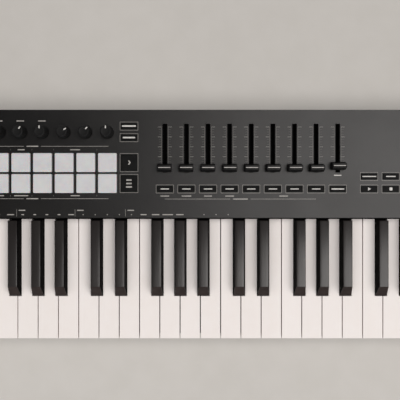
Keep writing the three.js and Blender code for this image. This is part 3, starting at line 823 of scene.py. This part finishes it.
def build_key_legends(bm):
    """Short bars and dots over the keys, with an upright line and a bar where a section starts."""
    for cell in [*range(21), 22, 23, 24]:
        width = LONG_MARKS.get(cell, 1.1 if cell in DOT_CELLS else 3.2) * MM
        bar(bm, semitone(cell + 0.5), KEY_MARK_Y, width, WORD)
    for cell in SECTION_STARTS:
        bar(bm, semitone(cell), KEY_MARK_Y + 2 * MM, 0.28 * MM, 8 * MM)
        bar(bm, semitone(cell) + 6 * MM, KEY_MARK_Y + 4.9 * MM, 7.5 * MM, WORD)


piece("group_lines", "case", GREY_INK, build_group_lines)
piece("panel_words", "case", GREY_INK, build_words)
piece("ninth_fader_mark", "case", WHITE_INK, build_ninth_mark)
piece("key_legends", "case", GREY_INK, build_key_legends)


# ---- Knobs: fluted caps with a pointer line ------------------------------------------------------

KNOB_TURN = {4: 35, 6: 60, 7: 45}  # degrees clockwise at rest
FLUTES = 18
FLUTE_DEPTH = 0.3 * MM
# Radius and height above the panel, in millimetres, from the stem to the middle of the top.
KNOB_PROFILE = [(2.9, -4), (2.9, 1.0), (7.0, 1.0), (7.35, 1.3), (7.35, 2.0), (7.2, 2.4),
                (7.05, 4.5), (6.85, 7.5), (6.65, 10.5), (6.5, 13.2), (6.4, 14.8), (6.15, 15.6),
                (5.7, 16.1), (5.1, 16.25), (4.6, 16.1), (3.0, 15.9), (1.0, 15.85)]


def flute(angle, radius, height):
    """Shallow flutes round the side, none on the lip or the crown."""
    if radius < 5.5 * MM:
        return radius
    above_lip = min(1.0, max(0.0, (height - 2.2 * MM) / (2 * MM)))
    below_crown = min(1.0, max(0.0, (15 * MM - height) / (1.2 * MM)))
    wave = (0.5 - 0.5 * math.cos(FLUTES * angle)) ** 2
    return radius - FLUTE_DEPTH * above_lip * below_crown * wave


for i, knob in enumerate(KNOBS, 1):
    place = at(middle(knob).x, middle(knob).y, PANEL_Z)

    def build(bm, place=place):
        turned(bm, scaled(KNOB_PROFILE), FLUTES * 5, place, flute)

    def pointer(bm, place=place, turn=math.radians(KNOB_TURN.get(i, 0))):
        slab(bm, 0, 4.5 * MM, 1.3 * MM, 3.2 * MM, 15.8 * MM, 16.5 * MM, 0.5 * MM, 0.15 * MM)
        swung = place @ Matrix.Rotation(-turn, 4, "Z")
        bmesh.ops.transform(bm, matrix=swung, verts=bm.verts[:])

    piece(f"knob_cap_{i}", knob, KNOB, build, replaces=[knob])
    piece(f"knob_pointer_{i}", knob, WHITE_INK, pointer)


# ---- Faders: waisted caps with a raised line -----------------------------------------------------

CAP_BASE = 2.2 * MM  # above the panel
CAP_WAIST = 4.8  # millimetres above the cap's base, where the ends close in to
# The cap in profile: millimetres across the finger line, and above the base.
CAP_PROFILE = [(-4.6, 0), (4.6, 0), (4.6, 1.4), (4.3, 2.6), (3.6, 5.2), (3.1, 7.4), (2.9, 8.9),
               (2.4, 9.6), (1.2, 9.55), (0.6, 9.3), (-0.6, 9.3), (-1.2, 9.55), (-2.4, 9.6),
               (-2.9, 8.9), (-3.1, 7.4), (-3.6, 5.2), (-4.3, 2.6), (-4.6, 1.4)]
# Along the cap: shares of its half length, and of the full profile.
CAP_ENDS = [(-1, 0.86), (-0.975, 0.94), (-0.93, 0.985), (-0.86, 1),
            (0.86, 1), (0.93, 0.985), (0.975, 0.94), (1, 0.86)]


def fader_cap(bm, x, y, half):
    """A cap, and the lever that goes down through its slot."""
    z = PANEL_Z + CAP_BASE
    loops = []
    for share, shrink in CAP_ENDS:
        loop = []
        for across, height in CAP_PROFILE:
            level = z + (CAP_WAIST + (height - CAP_WAIST) * shrink) * MM
            loop.append((x + half * share, y + across * shrink * MM, level))
        loops.append(loop)
    loft(bm, loops)
    slab(bm, x, y, 1.4 * MM, 5 * MM, PANEL_Z - 5.5 * MM, z + 0.5 * MM, 0.4 * MM, 0.1 * MM)


for i, fader in enumerate(FADERS, 1):
    low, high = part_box(fader)
    half = (high.x - low.x) / 2

    def build(bm, centre=middle(fader), half=half):
        fader_cap(bm, centre.x, centre.y, half)

    def line(bm, centre=middle(fader), half=half, top=high.z):
        slab(bm, centre.x, centre.y, 2 * half - 2.6 * MM, 0.95 * MM, top - 1 * MM,
             top - 0.05 * MM, 0.3 * MM, 0.25 * MM)

    piece(f"fader_cap_{i}", fader, FADER, build, replaces=[fader])
    piece(f"fader_line_{i}", fader, LINE_INK, line)


def build_slot_lips_and_shade(bm):
    """In each slot: a near-black sleeve that paints shade over the slot walls, a dark lip either side
    of the lever, and a floor underneath.
    """
    length = FADER_TRAVEL + 10.2 * MM
    for x in fader_xs:
        frame_ring(bm, x, FADER_MIDDLE, 5.36 * MM, length, 0.25 * MM,
                   PANEL_Z - 2.4 * MM, PANEL_Z - 0.12 * MM, 0.4 * MM)
        for side in (-1, 1):
            slab(bm, x + side * 1.95 * MM, FADER_MIDDLE, 1.4 * MM, length,
                 PANEL_Z - 3.4 * MM, PANEL_Z - 2.7 * MM, 0.3 * MM, 0.1 * MM)
        slab(bm, x, FADER_MIDDLE, 8.8 * MM, length + 4 * MM,
             PANEL_Z - 6.4 * MM, PANEL_Z - 6.0 * MM, 0.3 * MM, 0.1 * MM)


# The sleeves are painted shade inside the slots; the lips are the faders' own dust lips.
piece("slot_lips_and_shade_sleeves", "case", DARK_FELT_AND_SHADE, build_slot_lips_and_shade)


# ---- Wheels: ribbed rubber tyres on hubs ---------------------------------------------------------

WHEEL_RADIUS = 28 * MM
WHEEL_RISE = 9 * MM  # above the panel
RIBS = 60
RIB_DEPTH = 0.25 * MM
DIP_DEPTH = 2.6 * MM
DIP_HALF = 0.22  # radians
# Radius and place along the axle, in millimetres, from one axle end to the other.
WHEEL_PROFILE = [(3, -13.4), (3, -6.4), (12, -6.4), (12.4, -5.8), (22, -5.8), (22.6, -6.8),
                 (26.6, -6.8), (27.6, -6.0), (27.95, -4.6), (27.95, 4.6), (27.6, 6.0),
                 (26.6, 6.8), (22.6, 6.8), (22, 5.8), (12.4, 5.8), (12, 6.4), (3, 6.4), (3, 13.4)]


def wheel(node, lean):
    """A wheel whose finger dip leans from upright by an angle, away from the player."""
    centre = middle(node)
    dip_angle = math.pi - lean  # the turn onto the X axis puts angle pi at the top

    def rim(angle, radius, height):
        if radius < 26.4 * MM:
            return radius
        from_dip = abs((angle - dip_angle + math.pi) % TURN - math.pi)
        dip = DIP_DEPTH * max(0.0, 1 - (from_dip / DIP_HALF) ** 2)
        rib = RIB_DEPTH * (0.5 + 0.5 * math.cos(RIBS * angle)) if from_dip > DIP_HALF else 0
        return radius - dip - rib

    def build(bm):
        place = at(centre.x, centre.y, PANEL_Z + WHEEL_RISE - WHEEL_RADIUS, "X")
        turned(bm, scaled(WHEEL_PROFILE), RIBS * 4, place, rim)

    piece(node + "_tyre", node, WHEEL, build, replaces=[node])


wheel("pitch_wheel", 0.0)
wheel("modulation_wheel", math.radians(-35))


# ---- Display, wheel surrounds and panel trim -----------------------------------------------------

SCREEN_COLUMNS = 16
SCREEN_MARGIN = 8 * MM
WHEELS = ("pitch_wheel", "modulation_wheel")


def build_screen(bm):
    """A dim level display: columns of one to three blocks."""
    width = lens_high.x - lens_low.x - 2 * SCREEN_MARGIN
    bottom = middle("display_window").y - 6 * MM
    for i in range(SCREEN_COLUMNS):
        x = lens_low.x + SCREEN_MARGIN + width * (i + 0.5) / SCREEN_COLUMNS
        for row in range(3):
            if row <= (i * 5 + 3) % 4:
                bar(bm, x, bottom + row * 5 * MM, 2.6 * MM, 2.2 * MM, lens_high.z)


def build_wheel_surrounds(bm):
    for node in WHEELS:
        frame_ring(bm, middle(node).x, middle(node).y, 19 * MM, 49 * MM, 1.3 * MM,
                   PANEL_Z - 0.3 * MM, PANEL_Z + 0.5 * MM, 2 * MM)


def build_wheel_marks(bm):
    for node in WHEELS:
        centre = middle(node)
        bar(bm, centre.x, centre.y - 31 * MM, 11 * MM, WORD)
        for side in (-1, 1):
            bar(bm, centre.x + side * 11.5 * MM, centre.y, 1.8 * MM, 0.4 * MM)


def build_key_felt(bm):
    """The cloth strip behind the panel lip, just above the keys."""
    slab(bm, keys_middle, panel_front + 3.2 * MM, keys_width - 1 * MM, 1.8 * MM,
         white_top + 1.3 * MM, white_top + 5 * MM, 0.4 * MM, 0.3 * MM)


def build_lip_shade_strip(bm):
    """A near-black strip along the front of the panel lip: painted shade for the shadow the lip casts
    onto the keys.
    """
    slab(bm, keys_middle, panel_front - 0.75 * MM, keys_width - 0.6 * MM, 1.3 * MM,
         white_top + 1.4 * MM, PANEL_Z - 2 * MM, 0.4 * MM, 0.4 * MM)


piece("screen_segments", "case", SCREEN, build_screen)
piece("wheel_surrounds", "case", BASE, build_wheel_surrounds)
piece("wheel_marks", "case", GREY_INK, build_wheel_marks)
piece("key_felt", "case", FELT, build_key_felt)
# The strip under the panel lip is painted shade.
piece("lip_shade_strip", "case", DARK_FELT_AND_SHADE, build_lip_shade_strip)


# ---- Underside: screws, feet and ribs ------------------------------------------------------------

# Millimetres, two long rows and a short one between them.
SCREW_SITES = [(x, y) for y in (-88, 92) for x in (-372, -190, 0, 190, 372)]
SCREW_SITES += [(x, 2) for x in (-372, -120, 120, 372)]
SCREW_PROFILE = [(0.8, 0.1), (1.5, 0.25), (2.6, 0.3), (3.1, 0.05), (3.1, -0.5)]


def build_screws(bm):
    """Low dished heads with a raised cross, under the casing."""
    for x, y in scaled(SCREW_SITES):
        turned(bm, scaled(SCREW_PROFILE), 20, at(x, y, BASE_Z, "-Z"))
        for width, depth in ((0.7, 3.2), (3.2, 0.7)):
            slab_down(bm, x, y, width * MM, depth * MM, BASE_Z - 0.4 * MM, BASE_Z - 0.2 * MM,
                      0.2 * MM, 0.05 * MM)


def build_bottom_ribs(bm):
    """Shallow stiffening ribs under the casing."""
    for x in range(-360, 361, 40):
        slab_down(bm, x * MM, 0, 1.4 * MM, 170 * MM, BASE_Z - 0.5 * MM, BASE_Z + 0.2 * MM,
                  0.5 * MM, 0.3 * MM)


piece("bottom_screws", "case", STEEL, build_screws)

for node in ("front_foot_strip", "rear_foot_strip"):
    low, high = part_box(node)

    def build(bm, centre=middle(node), low=low, high=high):
        size = high - low
        slab_down(bm, centre.x, centre.y, size.x, size.y, low.z + 0.0001 * MM, high.z, 3 * MM,
                  0.8 * MM)

    piece(node + "_rubber", "case", FOOT, build, replaces=[node])

piece("bottom_ribs", "case", BASE, build_bottom_ribs)


# ---- Sockets in the rear -------------------------------------------------------------------------

USB_X = -330 * MM
MIDI_X = -290 * MM
PEDAL_X = -250 * MM
SOCKET_Z = 18 * MM
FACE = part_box("socket_board")[1].y
JACK_PROFILE = [(4.6, -0.4), (4.6, 0.05), (4.3, 0.25), (3.3, 0.25), (3.1, 0.05), (3.1, -2.2),
                (3.3, -2.2), (3.3, -0.4)]
PIN_PROFILE = [(0.7, 0), (0.7, 0.8), (0.45, 1.0)]
PIN_CIRCLE = 5 * MM


def build_jack_ring(bm):
    """A nickel ring round the pedal jack, with a lining inside it."""
    loops = []
    for radius, height in scaled(JACK_PROFILE):
        loops.append([(PEDAL_X + u, FACE + height, SOCKET_Z + v) for u, v in circle(radius, 32)])
    skin(bm, loops, closed=True)


def build_din_pins(bm):
    """Five contacts in the upper half of the round socket."""
    for i in range(5):
        angle = math.pi * i / 4
        x = MIDI_X + PIN_CIRCLE * math.cos(angle)
        z = SOCKET_Z + PIN_CIRCLE * math.sin(angle)
        turned(bm, scaled(PIN_PROFILE), 12, at(x, FACE - 9 * MM, z, "Y"))


def build_usb_tongue(bm):
    slab(bm, USB_X, FACE - 6.5 * MM, 5 * MM, 8.6 * MM, SOCKET_Z - 1.2 * MM, SOCKET_Z + 1.2 * MM,
         0.4 * MM, 0.3 * MM)


piece("pedal_jack_ring", "case", NICKEL, build_jack_ring)
piece("din_contacts", "case", GOLD, build_din_pins)
piece("usb_tongue", "case", BASE, build_usb_tongue)


# ---- Floor, light and camera ---------------------------------------------------------------------

FLOOR_SIZE = 6
FLOOR_TOP = -0.1 * MM  # just under the feet

bm = bmesh.new()
loft(bm, [rounded_loop(0, 0, z, FLOOR_SIZE, FLOOR_SIZE, 0.4) for z in (-20 * MM, FLOOR_TOP)])
floor = mesh_object("floor", bm, floor_paper())

WARM = (1.0, 0.965, 0.94)
COOL = (0.97, 0.98, 1.0)
OVER_PANEL = (0.05, 0, 0)
AT_FEET = (0, 0, 0)
AT_KEYS = (0, 0, 0.03)


def area_light(name, place, target, size, power, colour, mirrored=True):
    """A rectangular light. One that isn't mirrored lights surfaces, but no gloss shows it."""
    light = bpy.data.lights.new(name, "AREA")
    light.shape = "RECTANGLE"
    light.size, light.size_y = size
    light.energy = power
    light.color = colour
    obj = bpy.data.objects.new(name, light)
    obj.location = place
    aim = Vector(target) - Vector(place)
    obj.rotation_euler = aim.to_track_quat("-Z", "Y").to_euler()
    obj.visible_glossy = mirrored
    bpy.context.scene.collection.objects.link(obj)


area_light("softbox", (3.2, -0.2, 6.6), OVER_PANEL, (6.6, 6.6), 468, WARM)
area_light("left_fill", (-3.4, -0.2, 4.4), AT_FEET, (4.0, 5.0), 75, WARM, mirrored=False)
area_light("front_fill", (-0.6, -3.2, 0.9), AT_KEYS, (2.0, 0.9), 34, COOL)
area_light("back_fill", (-0.4, 3.2, 0.6), AT_KEYS, (2.4, 0.9), 14, COOL)
area_light("side_fill", (-3.2, 0.3, 0.6), AT_KEYS, (1.6, 0.9), 10, COOL)

world = bpy.data.worlds.new("studio")
world.use_nodes = True
background = world.node_tree.nodes["Background"]
background.inputs["Color"].default_value = (0.95, 0.97, 1.0, 1)
background.inputs["Strength"].default_value = 0.08
bpy.context.scene.world = world
bpy.context.scene.view_settings.view_transform = "Standard"

CAMERA_HEIGHT = 721 * MM  # above the white keys

camera_data = bpy.data.cameras.new("camera")
camera_data.lens = 56
camera_data.sensor_width = 36
camera = bpy.data.objects.new("camera", camera_data)
camera.location = (9.6 * MM, 29.2 * MM, white_top + CAMERA_HEIGHT)
bpy.context.scene.collection.objects.link(camera)
bpy.context.scene.camera = camera
